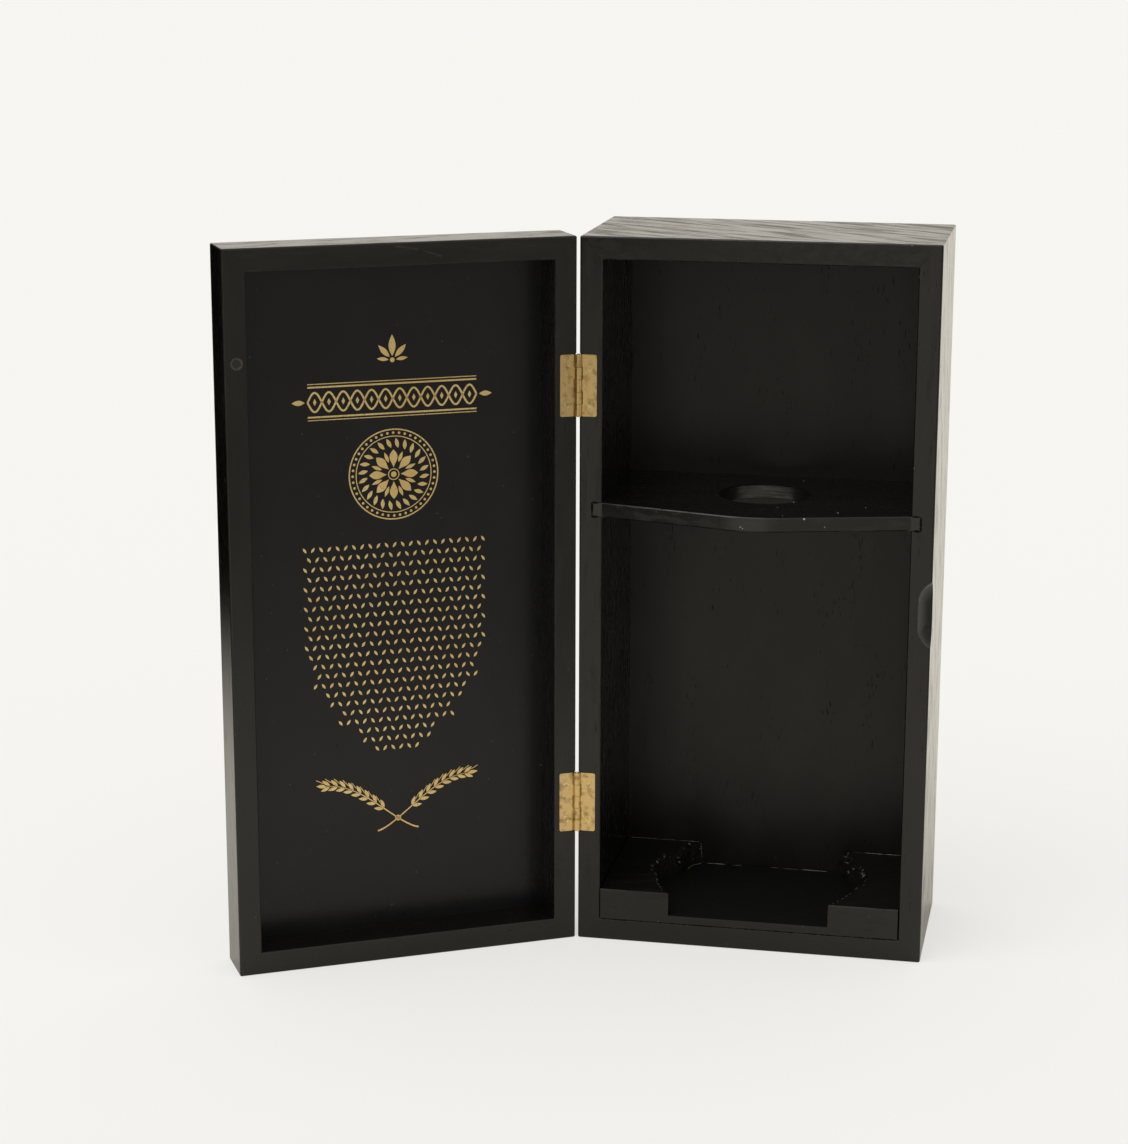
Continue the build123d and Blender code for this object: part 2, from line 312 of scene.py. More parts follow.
def milled_floor():
    """The pocket's floor: black stain soaked into sawn grain, with arcs left by the cutter."""
    finish = Finish("milled_pocket_floor", IOR=1.45)
    x = finish.distance(Vector(), RIGHT)
    y = finish.distance(BACK * bottle_axis_y * MM, BACK)
    arcs_to_each_mm = 2.1
    from_axis = finish.math("SQRT", x**2 + y**2)
    wavering = from_axis + 1.5 * finish.speckle(x / 14, y / 14, 0.0)
    arc = finish.math("SINE", wavering * arcs_to_each_mm)
    fibre = finish.speckle(x / 5, y / 0.5, 0.0, 3.0)
    pale = finish.step(fibre + 0.06 * arc, 0.66, 0.76)
    colour = finish.blend(pale * 0.6, DEEP_PORE, BRUISED)
    height = 0.5 * arc + fibre
    finish.feed(Base_Color=colour, Roughness=0.45 + 0.3 * fibre, Normal=finish.relief(height, 0.05))
    return finish.material


def torn_fibre(name, bareness, wood=RAW_WOOD, shade=RAW_SHADE):
    """Milled wood with its fibres torn out: mostly soaked black, with bare wood where the stain missed."""
    finish = Finish(name, IOR=1.45, Specular_IOR_Level=0.2)
    x, y, z = finish.axes()
    fibre = finish.speckle(x / 4.0, y / 0.4, z / 0.4, 3.0)
    patch = finish.speckle(x / 5, y / 5, z / 3, 2.0)
    bare = finish.step(patch + 0.5 * fibre, 1.02 - bareness, 1.12 - bareness)
    colour = finish.blend(fibre, DEEP_PORE, BRUISED)
    colour = finish.blend(bare, colour, finish.blend(fibre, shade, wood))
    finish.feed(Base_Color=colour, Roughness=0.62 + 0.25 * fibre, Normal=finish.relief(fibre, 0.2))
    return finish.material


def foil_gold():
    """Hot-stamped gold foil: bright metal on the panel's fine texture, a little worn through."""
    finish = Finish("gold_foil", Metallic=1.0)
    x, y, z = finish.axes()
    broad = finish.speckle(x / 22, y / 22, z / 22, 2.0)
    fine = finish.speckle(x / 0.5, y / 0.5, z / 0.5, 2.0)
    rubbed = finish.step(fine + 0.35 * broad, 0.76, 0.86)
    colour = finish.blend(finish.step(broad, 0.3, 0.7), DEEP_GOLD, BRIGHT_GOLD)
    colour = finish.blend(rubbed * 0.6, colour, WORN_GOLD)
    roughness = 0.42 + 0.2 * rubbed + 0.12 * (fine - 0.5)
    finish.feed(Base_Color=colour, Roughness=roughness, Normal=finish.relief(fine, 0.006))
    return finish.material


def metal(name, colour, tarnish, gloss, brushing):
    """Small drawn and pressed metal parts: fine brushing along the pin line, and tarnish in patches."""
    finish = Finish(name, Metallic=1.0)
    x, y, z = finish.axes()
    brushed = finish.speckle(x / 0.10, y / 0.10, z / brushing, 2.0)
    shade = finish.step(finish.speckle(x / 2.5, y / 2.5, z / 2.5, 3.0), 0.45, 0.75)
    roughness = gloss + 0.16 * (brushed - 0.5) + 0.22 * shade
    tarnished = finish.blend(shade * 0.7, colour, tarnish)
    finish.feed(Base_Color=tarnished, Roughness=roughness, Normal=finish.relief(brushed, 0.008))
    return finish.material


def lacquer_over(name, paleness):
    """A film of black lacquer on a small disc, or the ring that it leaves round it."""
    finish = Finish(name, IOR=1.5)
    x, y, z = finish.axes()
    rub = finish.speckle(x / 0.8, y / 0.8, z / 0.8, 3.0)
    colour = finish.blend(finish.step(rub, 0.2, 0.7) * paleness, LACQUER, RUBBED)
    finish.feed(Base_Color=colour, Roughness=0.25 + 0.3 * rub, Normal=finish.relief(rub, 0.02))
    return finish.material


def paint(node, material):
    """Gives a frame piece its finish."""
    slots = frame["nodes"][node].data.materials
    slots.clear()
    slots.append(material)


def on_lid(across, height):
    """A point on the lid's rim, in millimetres across from its hinge side and up from its foot."""
    hinge_edge = reach("lid_hinge_stile", lid_out)[0]
    rim = reach("lid_hinge_stile", lid_facing)[1]
    return lid_out * (hinge_edge + across * MM) + lid_facing * rim + UP * height * MM


# Two rubbed streaks on the lid's top rail: start, end and width
rail_scuffs = (
    (on_lid(79, 303.9), on_lid(68, 302.0), 0.9),
    (on_lid(66, 301.4), on_lid(58, 298.9), 0.6),
)
# The boards: the ways along and across each one, and its own grain and lacquer
BOARDS = {
    "base_top_board": (RIGHT, BACK, dict(
        ring_gap=9.0, tilt=0.35, heart=(-34, 36), ringed=0.4, figure=0.24, streaks=(28, 3.6), lean=0.6,
        gloss=0.13, wear=0.1,
    )),
    "base_bottom_board": (RIGHT, BACK, dict(ring_gap=8.0, tilt=0.14, heart=(25, 50))),
    "base_hinge_side_board": (UP, BACK, dict(tilt=0.10, heart=(15, 60))),
    "base_latch_side_board": (UP, BACK, dict(
        tilt=0.12, heart=(-28, 60), figure=0.12, gloss=0.10, wear=0.0,
    )),
    "lid_top_rail": (lid_out, lid_facing, dict(ring_gap=6.0, tilt=0.10, marks=rail_scuffs)),
    "lid_bottom_rail": (lid_out, lid_facing, dict(ring_gap=6.0, tilt=0.12, heart=(-12, 45))),
    "lid_hinge_stile": (UP, lid_out, dict(ring_gap=6.0, tilt=0.08, heart=(-20, 45))),
    "lid_free_stile": (UP, lid_out, dict(
        ring_gap=6.0, tilt=0.09, heart=(25, 45), figure=0.04, gloss=0.16, pitting=0.12,
    )),
    "neck_shelf": (RIGHT, BACK, dict(ring_gap=9.0, tilt=0.05, heart=(40, 80), shine=1.56)),
}
for board, (along_way, across_way, grain) in BOARDS.items():
    paint(board, board_lacquer(board + "_lacquer", board, along_way, across_way, **grain))

paint("base_back_panel", panel_lacquer(
    "back_panel_lacquer", "base_back_panel", across_way=RIGHT, stain=LACQUER,
    gloss=0.24, pores=0.055, dust=0.02, cloudiness=0.8, shine=1.38,
))
paint("lid_panel", panel_lacquer(
    "lid_panel_lacquer", "lid_panel", across_way=lid_out, stain=COOL_LACQUER,
    gloss=0.20, pores=0.0, dust=0.05, cloudiness=0.3, shine=1.385,
))
cradle_black = board_lacquer("cradle_stain", "bottle_cradle", RIGHT, BACK, figure=0.2, gloss=0.32)
paint("bottle_cradle", cradle_black)

brass = metal("hinge_brass", (0.70, 0.50, 0.22), tarnish=(0.30, 0.19, 0.08), gloss=0.28, brushing=3.0)
steel = metal("hinge_steel", (0.56, 0.55, 0.53), tarnish=(0.25, 0.23, 0.21), gloss=0.25, brushing=6.0)
screw_brass = metal("screw_brass", (0.74, 0.56, 0.27), tarnish=(0.36, 0.25, 0.12), gloss=0.24, brushing=0.4)
magnet_paint = lacquer_over("painted_magnet", paleness=0.15)
ring_paint = lacquer_over("magnet_ring", paleness=1.5)
for node in frame["nodes"]:
    if "leaf" in node:
        paint(node, brass)
    elif "pin" in node:
        paint(node, steel)
    elif "screws" in node:
        paint(node, screw_brass)
    elif "magnet" in node:
        paint(node, magnet_paint)


def add_object(name, data):
    """Adds an object to the scene, with its mesh, lamp or camera."""
    made = bpy.data.objects.new(name, data)
    bpy.context.scene.collection.objects.link(made)
    return made


def add_mesh(name, mesh, materials):
    """Adds an object made of a bmesh in metres, and frees the bmesh."""
    data = bpy.data.meshes.new(name)
    mesh.to_mesh(data)
    mesh.free()
    for material in materials:
        data.materials.append(material)
    return add_object(name, data)


def add_piece(name, mesh, body, material_slot, *materials):
    """Turns a bmesh in millimetres into a piece that rides on a body."""
    bmesh.ops.recalc_face_normals(mesh, faces=mesh.faces)
    bmesh.ops.scale(mesh, vec=(MM, MM, MM), verts=mesh.verts)
    piece = add_mesh(name, mesh, materials)
    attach(piece, body)
    return piece


# The foil print in the lid: an ornament of grain and leaves, drawn in millimetres on the panel's face,
# X to the right and Y up from its middle

foil_thickness = 0.03
panel_low, panel_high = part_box("lid_panel")
panel_middle = (
    lid_out * (sum(reach("lid_panel", lid_out)) / 2)
    + lid_facing * reach("lid_panel", lid_facing)[1]
    + UP * (panel_low.z + panel_high.z) / 2
)
panel_turn = Matrix((-lid_out, UP, lid_facing)).transposed().to_4x4()
panel_place = Matrix.Translation(panel_middle / MM) @ panel_turn


def turned(radius, angle, centre):
    """A point on a circle."""
    return centre[0] + radius * cos(angle), centre[1] + radius * sin(angle)


def circle(centre, radius, count):
    """Points all round a circle."""
    return [turned(radius, 2 * pi * k / count, centre) for k in range(count)]


def bent(foot, heading, ahead, aside):
    """A point ahead of and beside another, where heading is the angle from the X axis."""
    x = foot[0] + ahead * cos(heading) - aside * sin(heading)
    y = foot[1] + ahead * sin(heading) + aside * cos(heading)
    return x, y


class Foil:
    """Flat shapes of thin foil, gathered into one piece."""

    def __init__(self):
        self.mesh = bmesh.new()

    def levels(self, points):
        """A row of points just clear of the panel's face, and the same row on the foil's face."""
        lifts = (0.1 * foil_thickness, foil_thickness)
        return [[self.mesh.verts.new((x, y, lift)) for x, y in points] for lift in lifts]

    def strip(self, left, right, closed=False):
        """Foil between two rows of points."""
        rows = self.levels(left) + self.levels(right)
        count = len(left)
        for k in range(count if closed else count - 1):
            n = (k + 1) % count
            for a, b in ((0, 1), (1, 3), (3, 2), (2, 0)):
                self.mesh.faces.new((rows[a][k], rows[b][k], rows[b][n], rows[a][n]))
        if not closed:
            for k in (0, -1):
                self.mesh.faces.new((rows[0][k], rows[1][k], rows[3][k], rows[2][k]))

    def shape(self, outline):
        """Foil inside an outline."""
        foot, top = self.levels(outline)
        self.mesh.faces.new(foot)
        self.mesh.faces.new(top)
        for k in range(len(outline)):
            n = (k + 1) % len(outline)
            self.mesh.faces.new((foot[k], foot[n], top[n], top[k]))

    def ring(self, centre, radius, width, count=72):
        """A round line."""
        inner, outer = (circle(centre, radius + half, count) for half in (-width / 2, width / 2))
        self.strip(inner, outer, closed=True)

    def dot(self, centre, radius, count=12):
        """A round spot."""
        self.shape(circle(centre, radius, count))

    def leaf(self, foot, heading, length, width, fullest=0.45):
        """A leaf or a grain, pointed at both ends and widest a share of the way along."""
        steps = 7
        shares = [k / steps for k in range(steps + 1)]
        outline = []
        for side, row in ((-1, shares), (1, shares[-2:0:-1])):
            for t in row:
                swell = sin(pi * t ** (0.525 / (1 - fullest))) * width / 2
                outline.append(bent(foot, heading, length * t, side * swell))
        self.shape(outline)

    def lozenge(self, centre, wide, tall):
        """A four-sided shape that stands on a corner."""
        x, y = centre
        self.shape([(x + wide / 2, y), (x, y + tall / 2), (x - wide / 2, y), (x, y - tall / 2)])

    def ribbon(self, points, width, taper=False):
        """A line of foil along points, which may narrow towards its end."""
        left = []
        right = []
        last = len(points) - 1
        for k, (x, y) in enumerate(points):
            ahead = points[min(k + 1, last)]
            behind = points[max(k - 1, 0)]
            way = Vector((ahead[0] - behind[0], ahead[1] - behind[1])).normalized()
            half = width / 2 * (1 - 0.75 * k / last if taper else 1)
            left.append((x - way.y * half, y + way.x * half))
            right.append((x + way.y * half, y - way.x * half))
        self.strip(left, right)


gold = foil_gold()


def stamp(name, foil):
    """Puts a foil drawing on the lid's panel."""
    bmesh.ops.transform(foil.mesh, matrix=panel_place, verts=foil.mesh.verts)
    add_piece(name, foil.mesh, "lid", "gold_foil", gold)


def rosette_medallion(centre):
    """A rosette of petals inside a wreath of leaves and two lines with beads between them."""
    beads, leaves, petals = 44, 24, 8
    foil = Foil()
    foil.ring(centre, 19.0, 0.55)
    foil.ring(centre, 16.1, 0.4)
    for bead in circle(centre, 17.55, beads):
        foil.dot(bead, 0.55)
    for k in range(leaves):
        angle = 2 * pi * (k + 0.5) / leaves
        foil.leaf(turned(11.2, angle - 0.05, centre), angle + 0.35, 4.4, 1.7)
    for k in range(petals):
        angle = 2 * pi * k / petals
        foil.leaf(turned(2.9, angle, centre), angle, 7.6, 3.5, 0.6)
        between = angle + pi / petals
        foil.leaf(turned(5.4, between, centre), between, 4.8, 1.5)
    foil.ring(centre, 2.25, 0.4, 32)
    foil.dot(centre, 1.2, 20)
    return foil


def guilloche_band(middle, half_length):
    """Two waves plaited between straight lines, with lozenges in their eyes and a leaf at each end."""
    foil = Foil()
    height = 4.0
    wave = 12.0
    steps = 14
    count = round(4 * half_length / wave)
    for sign in (-1, 1):
        for k in range(count):
            arch = []
            for n in range(steps + 1):
                x = (k + n / steps) * wave / 2
                arch.append((x - half_length, middle + sign * height * sin(2 * pi * x / wave)))
            foil.ribbon(arch, 0.8)
    for k in range(count):
        foil.lozenge(((k + 0.5) * wave / 2 - half_length, middle), 1.5, 3.0)
    for sign in (-1, 1):
        for rise, width in ((6.2, 0.7), (7.5, 0.35)):
            foil.ribbon([(x, middle + sign * rise) for x in (-half_length, half_length)], width)
        foil.leaf((sign * (half_length + 1.2), middle), 0 if sign > 0 else pi, 5.5, 2.2)
    return foil


def grain_field(top, bottom, half_width, foot_width):
    """Rows of leaning barley grains, the field narrowing in a curve towards its foot."""
    foil = Foil()
    row_gap = 4.2
    grain_gap = 3.5
    grain_length = 2.7
    grain_lean = 0.6
    rows = int((top - bottom) / row_gap)
    for row in range(rows + 1):
        edge = foot_width + (half_width - foot_width) * cos(pi / 2 * (row / rows) ** 2.2)
        count = int(edge / grain_gap)
        odd = row % 2
        for k in range(-count, count + 1 - odd):
            heading = pi / 2 + (grain_lean if k % 2 else -grain_lean)
            middle = ((k + 0.5 * odd) * grain_gap, top - row * row_gap)
            foil.leaf(bent(middle, heading, -grain_length / 2, 0), heading, grain_length, 1.05)
    return foil


def crossed_ears(crossing, rise):
    """Two ears of barley on crossing stalks, mirror images of each other."""
    foil = Foil()
    steps = 24
    first_grain = 9
    stalk_span = 40
    foot_across, foot_below = 9, 5
    for sign in (-1, 1):
        stalk = []
        for n in range(steps + 1):
            t = n / steps
            across = crossing[0] + sign * (stalk_span * t - foot_across)
            up = crossing[1] - foot_below + rise * sin(pi / 2 * t) ** 1.4
            stalk.append((across, up))
        foil.ribbon(stalk, 0.7, taper=True)
        for n in range(first_grain, steps, 2):
            ahead = Vector(stalk[n]) - Vector(stalk[n - 1])
            heading = -Vector((1, 0)).angle_signed(ahead)
            for lean in (-0.5, 0.5):
                foil.leaf(bent(stalk[n], heading, 0.3, 0.7 * lean), heading + lean, 4.2, 1.5)
            awn = [bent(stalk[n], heading + 0.35 * sign, length, 0) for length in (3.5, 7.0)]
            foil.ribbon(awn, 0.28)
        foil.leaf(stalk[-1], heading, 4.6, 1.6)
    foil.dot(crossing, 1.3, 16)
    return foil


def leaf_crest(foot):
    """A small spray of five leaves over a bead."""
    foil = Foil()
    for lean, length, width in (
        (0.0, 9.0, 3.0), (0.75, 7.0, 2.3), (-0.75, 7.0, 2.3), (1.45, 5.0, 1.6), (-1.45, 5.0, 1.6),
    ):
        heading = pi / 2 + lean
        foil.leaf(bent(foot, heading, 1.6, 0), heading, length, width)
    foil.dot(foot, 1.0, 16)
    return foil


stamp("foil_crest", leaf_crest((0, 102)))
stamp("foil_band", guilloche_band(86, 36))
stamp("foil_medallion", rosette_medallion((0, 54)))
stamp("foil_grain_field", grain_field(24, -68, 41, 12))
stamp("foil_crossed_ears", crossed_ears((0, -96), 22))

# The bottle's cradle: its pocket's wall is torn by the milling, most of all towards the back

pocket_radius = 47.0
pocket_floor = cradle_low.z + 3.5
front_easing = 0.4
shoulder = 1.3
wall_columns = 170
wall_levels = 10
whole_columns = 20
tearing_starts = 3.0
tearing_grows_over = 52.0


def tearing(y):
    """How badly the wall is torn, from 0 at the front to 1 at the back."""
    share = min(1.0, max(0.0, (y - cradle_low.y - tearing_starts) / tearing_grows_over))
    return share * share * (3 - 2 * share)


# How far the wall stands outside the round the cutter aimed for, at its foot and at its top: pairs of a
# place along Y and a distance
FOOT_BREAKS = (
    (-37.0, 0.0), (-10.0, 0.0), (6.0, -1.0), (16.0, -3.6), (22.0, -2.5), (27.0, 0.5), (34.0, 1.2),
)
TOP_BREAKS = (
    (-37.0, 0.0), (-33.0, -0.5), (-23.0, -2.0), (-14.0, -2.1), (-7.0, -0.4), (2.5, -0.5), (13.0, -0.8),
    (18.5, -3.2), (21.0, -1.0), (24.5, 1.8), (28.0, 4.0), (34.0, 8.0),
)
# The left cheek broke less at the back: its corner stands nearly upright
LEFT_FOOT_BREAKS = FOOT_BREAKS[:5] + ((27.0, 0.8), (34.0, 2.6))
LEFT_TOP_BREAKS = TOP_BREAKS[:9] + ((24.5, 1.0), (28.0, 2.0), (34.0, 3.8))


def read_table(table, place):
    """The value at a place in a table of places and values, in a straight line between its entries."""
    for (before, first), (after, last) in zip(table, table[1:]):
        if place <= after:
            return first + (last - first) * (place - before) / (after - before)
    return table[-1][1]


def pocket_wall(side, y, share):
    """A point of the pocket's wall, a share of the way up it."""
    height = pocket_floor + (cradle_high.z - pocket_floor) * share
    x = sqrt(pocket_radius**2 - (y - bottle_axis_y) ** 2)
    foot_breaks = FOOT_BREAKS if side > 0 else LEFT_FOOT_BREAKS
    top_breaks = TOP_BREAKS if side > 0 else LEFT_TOP_BREAKS
    x += (1 - share) * read_table(foot_breaks, y) + share * read_table(top_breaks, y)
    torn = tearing(y)
    flake = noise.noise(Vector((x * 0.15, y * 0.85 + side * 7, height * 1.2)))
    chip = noise.noise(Vector((side * 5.0, y * 0.42, 2.5)))
    lift = min(1.0, 3 * share)
    x += lift * (0.25 + 0.9 * torn) * flake
    x += share**2 * (0.3 + 2.2 * torn) * (chip + 0.1)
    return Vector((side * x, y, height))


# The cradle's finishes, by their place in its list
STAINED, TORN, MILLED = range(3)


def wall_column(mesh, side, y):
    """An upright row of the torn wall, and the point where the cheek's top begins beside it."""
    easing = front_easing if y == cradle_low.y else 0
    shares = [level / wall_levels for level in range(wall_levels + 1)]
    column = [mesh.verts.new(pocket_wall(side, y, share)) for share in shares]
    drop = 1.1 * tearing(y) * max(0.0, noise.noise(Vector((y * 0.9, side * 3.0, 8.0))) + 0.1)
    column[-1].co.z -= drop + easing
    ragged = 0.6 + 0.8 * abs(noise.noise(Vector((y * 0.7, side * 2.0, 4.0))))
    beyond = column[-1].co.x + side * shoulder * ragged * (0.25 + tearing(y))
    return column, mesh.verts.new((beyond, y, cradle_high.z - easing))


def add_cheek(mesh, side, low_front, low_back):
    """One cheek: its torn wall, its top and its outer side, which stands on two corners of the block.
    Gives the front edge and the back edge of the wall and the top, and the foot of the wall."""
    outside = side * cradle_high.x
    eased = cradle_low.y + front_easing
    stations = [cradle_low.y, eased]
    stations += [eased + (cradle_high.y - eased) * k / wall_columns for k in range(1, wall_columns + 1)]
    rows = []
    shoulders = []
    for y in stations:
        column, beside = wall_column(mesh, side, y)
        rows.append(column)
        shoulders.append(beside)
    for k, (here, there) in enumerate(zip(rows, rows[1:])):
        for n in range(wall_levels):
            face = mesh.faces.new((here[n], there[n], there[n + 1], here[n + 1]))
            face.material_index = TORN
        face = mesh.faces.new((here[-1], there[-1], shoulders[k + 1], shoulders[k]))
        face.material_index = TORN if k > whole_columns else STAINED
    front_low = mesh.verts.new((outside, cradle_low.y, cradle_high.z - front_easing))
    front_high = mesh.verts.new((outside, eased, cradle_high.z))
    back = mesh.verts.new((outside, cradle_high.y, cradle_high.z))
    mesh.faces.new([front_high, back] + shoulders[:0:-1])
    mesh.faces.new((front_low, front_high, shoulders[1], shoulders[0]))
    mesh.faces.new((low_front, low_back, back, front_high, front_low))
    front_edge = [front_low, shoulders[0]] + rows[0][::-1]
    back_edge = [back, shoulders[-1]] + rows[-1][::-1]
    return front_edge, back_edge, [row[0] for row in rows]


def torn_cradle():
    """The cradle as one closed block. Its two cheeks end in the ragged wall."""
    mesh = bmesh.new()
    corners = {}
    for side in (-1, 1):
        ends = (cradle_low.y, cradle_high.y)
        corners[side] = [mesh.verts.new((side * cradle_high.x, y, cradle_low.z)) for y in ends]
    mesh.faces.new((corners[-1][0], corners[1][0], corners[1][1], corners[-1][1]))
    *left_edges, left_foot = add_cheek(mesh, -1, *corners[-1])
    *right_edges, right_foot = add_cheek(mesh, 1, *corners[1])
    for end in (0, 1):
        edge = left_edges[end] + right_edges[end][::-1]
        mesh.faces.new([corners[-1][end], *edge, corners[1][end]])
    floor = mesh.faces.new(right_foot + left_foot[::-1])
    floor.material_index = MILLED
    mesh.normal_update()
    bmesh.ops.triangulate(mesh, faces=[face for face in mesh.faces if len(face.verts) > 4])
    return mesh


# Torn wood: the wall soaked up the stain, and the rest is bare
torn_wall = torn_fibre("torn_pocket_wall", 0.0)
bare_wood = torn_fibre("bare_wood", 1.0)
worn_grit = torn_fibre("worn_grit", 1.0, WORN_GRIT)
pale_grit = torn_fibre("pale_grit", 1.0, GRIT)
dull_grit = torn_fibre("dull_grit", 1.0, DULL_GRIT, BRUISED)

cradle_finishes = (cradle_black, torn_wall, milled_floor())
cradle = add_piece("bottle_cradle_torn", torn_cradle(), "base", "black_fittings", *cradle_finishes)
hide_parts("bottle_cradle")


def add_splinter(mesh, foot, way, out, length, width):
    """A torn fibre: a thin spike along a way, lifting out of the surface towards its tip."""
    aside = way.cross(out).normalized() * width / 2
    thick = out * width / 2
    corners = ((-aside, -thick), (aside, -thick), (aside, thick), (-aside, thick))
    base = [mesh.verts.new(foot + across + up) for across, up in corners]
    tip = mesh.verts.new(foot + way * length)
    mesh.faces.new(base)
    for k in range(4):
        mesh.faces.new((base[k], base[(k + 1) % 4], tip))


def pocket_splinters(name, material_slot, finish, count, spread, seed):
    """Torn fibres on the pocket's wall and edge. The fibres lie along X, so they stand out sideways."""
    dice = random.Random(seed)
    mesh = bmesh.new()
    for _ in range(count):
        side = dice.choice((-1, 1, 1))
        y = dice.uniform(*spread)
        foot = pocket_wall(side, y, dice.uniform(0.45, 1.0))
        foot.x += side * 0.25
        way = Vector((-side, dice.uniform(-0.5, 0.2), dice.uniform(-0.1, 0.35))).normalized()
        add_splinter(mesh, foot, way, UP, length=dice.uniform(0.9, 2.6), width=dice.uniform(0.25, 0.6))
    add_piece(name, mesh, "base", material_slot, finish)


pocket_splinters("cradle_dark_splinters", "black_fittings", torn_wall, 90, (-12.0, 32.4), seed=1)
pocket_splinters("cradle_bare_splinters", "bare_wood", worn_grit, 14, (-8.0, 32.2), seed=2)

neck_radius = 19.5
shelf_low, shelf_top = (height / MM for height in reach("neck_shelf", UP))


def neck_splinters(count):
    """Fibres that the drill tore at the front right of the neck hole."""
    dice = random.Random(3)
    mesh = bmesh.new()
    for _ in range(count):
        angle = radians(dice.uniform(-62, -22))
        wall = Vector((cos(angle), sin(angle), 0))
        foot = wall * (neck_radius + 0.1) + Vector((0, bottle_axis_y, shelf_top - dice.uniform(0.7, 4.0)))
        way = Vector((-1, dice.uniform(-0.2, 0.5), dice.uniform(-0.2, 0.3))).normalized()
        add_splinter(mesh, foot, way, UP, length=dice.uniform(0.7, 1.9), width=dice.uniform(0.2, 0.5))
    add_piece("neck_hole_splinters", mesh, "base", "black_fittings", torn_wall)


neck_splinters(26)

# How far slivers and chips are let into a surface, and a sliver's step
let_in = 0.03
sliver_step = 0.9


def add_sliver(mesh, points, out, width, rise, dice):
    """A thin ragged ridge along a line of points, pointed at both ends."""
    steps = []
    for start, end in zip(points, points[1:]):
        count = max(2, int((end - start).length / sliver_step))
        steps += [start.lerp(end, k / count) for k in range(count)]
    steps.append(points[-1])
    last = len(steps) - 1
    sections = []
    for k, spot in enumerate(steps):
        way = (steps[min(k + 1, last)] - steps[max(k - 1, 0)]).normalized()
        aside = way.cross(out).normalized()
        taper = min(1.0, 0.25 + min(k, last - k) * 0.4)
        full = taper * dice.uniform(0.35, 1.0)
        corners = (-0.5 * width * aside, 0.5 * width * aside, rise * out)
        sections.append([mesh.verts.new(spot - let_in * out + full * corner) for corner in corners])
    for here, there in zip(sections, sections[1:]):
        for a, b in ((0, 1), (1, 2), (2, 0)):
            mesh.faces.new((here[a], here[b], there[b], there[a]))
    mesh.faces.new(sections[0])
    mesh.faces.new(sections[-1][::-1])


# Bare slivers along the cradle's back joint, on the pocket's floor and on the cheeks' tops: where each
# starts and ends along X, and its width
FLOOR_SLIVERS = (
    (-28.6, -19.2, 0.75), (-18.8, -11.5, 0.3), (0.2, 5.2, 0.35), (6.6, 13.4, 0.5), (14.6, 27.2, 0.65),
)
CHEEK_SLIVERS = ((37.5, 43.0, 0.3), (43.0, 64.0, 0.75), (-64.0, -31.5, 0.5))


def bare_edges():
    """Where the stain missed the cradle's cut edges: along its back joint, and round its left end."""
    dice = random.Random(4)
    mesh = bmesh.new()
    back = cradle_high.y - 0.2
    rows = ((FLOOR_SLIVERS, pocket_floor, 0.35), (CHEEK_SLIVERS, cradle_high.z, 0.3))
    for slivers, height, steepness in rows:
        for first, last, width in slivers:
            line = [Vector((x, back, height)) for x in (first, last)]
            add_sliver(mesh, line, UP, width, steepness * width, dice)
    wall_foot = [pocket_wall(-1, y, 0.0) + 0.3 * RIGHT for y in (32.6, 28.0, 23.0)]
    add_sliver(mesh, wall_foot, UP, width=0.4, rise=0.2, dice=dice)
    wall_end = [pocket_wall(-1, back, share) + 0.1 * RIGHT for share in (0.05, 0.35, 0.65, 0.95)]
    add_sliver(mesh, wall_end, 0.7 * (RIGHT - BACK), width=0.22, rise=0.13, dice=dice)
    add_piece("cradle_bare_edges", mesh, "base", "bare_wood", bare_wood)


bare_edges()


def add_flake(mesh, spot, normal, size, dice, thickness=0.09):
    """A chip: a low lump with an uneven outline, let a little into the surface."""
    sides = 7
    across = normal.orthogonal().normalized()
    aside = normal.cross(across)
    rings = []
    for share, lift in ((1.0, -let_in), (0.55, thickness)):
        ring = []
        for k in range(sides):
            angle = 2 * pi * k / sides
            radius = share * size / 2 * dice.uniform(0.6, 1.25)
            point = spot + across * radius * cos(angle) + aside * radius * sin(angle) + normal * lift
            ring.append(mesh.verts.new(point))
        rings.append(ring)
    for k in range(sides):
        n = (k + 1) % sides
        mesh.faces.new((rings[0][k], rings[0][n], rings[1][n], rings[1][k]))
    mesh.faces.new(rings[0][::-1])
    mesh.faces.new(rings[1])


# Chips on the pocket's broken edge: the place along Y, the share of the way up the wall, and the size
PALE_CHIPS = (
    (31.0, 1.0, 1.5), (18.6, 0.55, 2.3), (15.2, 0.85, 1.7), (10.0, 1.0, 1.2), (2.0, 1.0, 2.3),
    (-18.6, 0.9, 1.6),
)
DULL_CHIPS = (
    (24.0, 1.0, 1.2), (12.5, 1.0, 2.0), (6.0, 1.0, 1.5), (-3.5, 1.0, 2.2), (-9.0, 1.0, 1.3),
    (-14.0, 1.0, 2.0), (-21.5, 1.0, 1.7), (-24.5, 1.0, 1.3), (-28.0, 1.0, 1.6), (-31.5, 1.0, 1.2),
    (-34.5, 1.0, 0.9),
)
left_chips_drawn_in = 0.93


def cradle_chips():
    """Torn chips standing on the pocket's broken edge, each on both cheeks: some pale, some stained."""
    dice = random.Random(7)
    for name, chips, slot, finish in (
        ("cradle_pale_chips", PALE_CHIPS, "bare_wood", worn_grit),
        ("cradle_dull_chips", DULL_CHIPS, "black_fittings", dull_grit),
    ):
        mesh = bmesh.new()
        for y, share, size in chips:
            for side in (1, -1):
                spot = pocket_wall(side, y * (1 if side > 0 else left_chips_drawn_in), share)
                lean = Vector((-side, 0.2, 1.2)).normalized()
                add_flake(mesh, spot - 0.1 * lean, lean, size, dice, thickness=0.35)
        add_piece(name, mesh, "base", slot, finish)


cradle_chips()


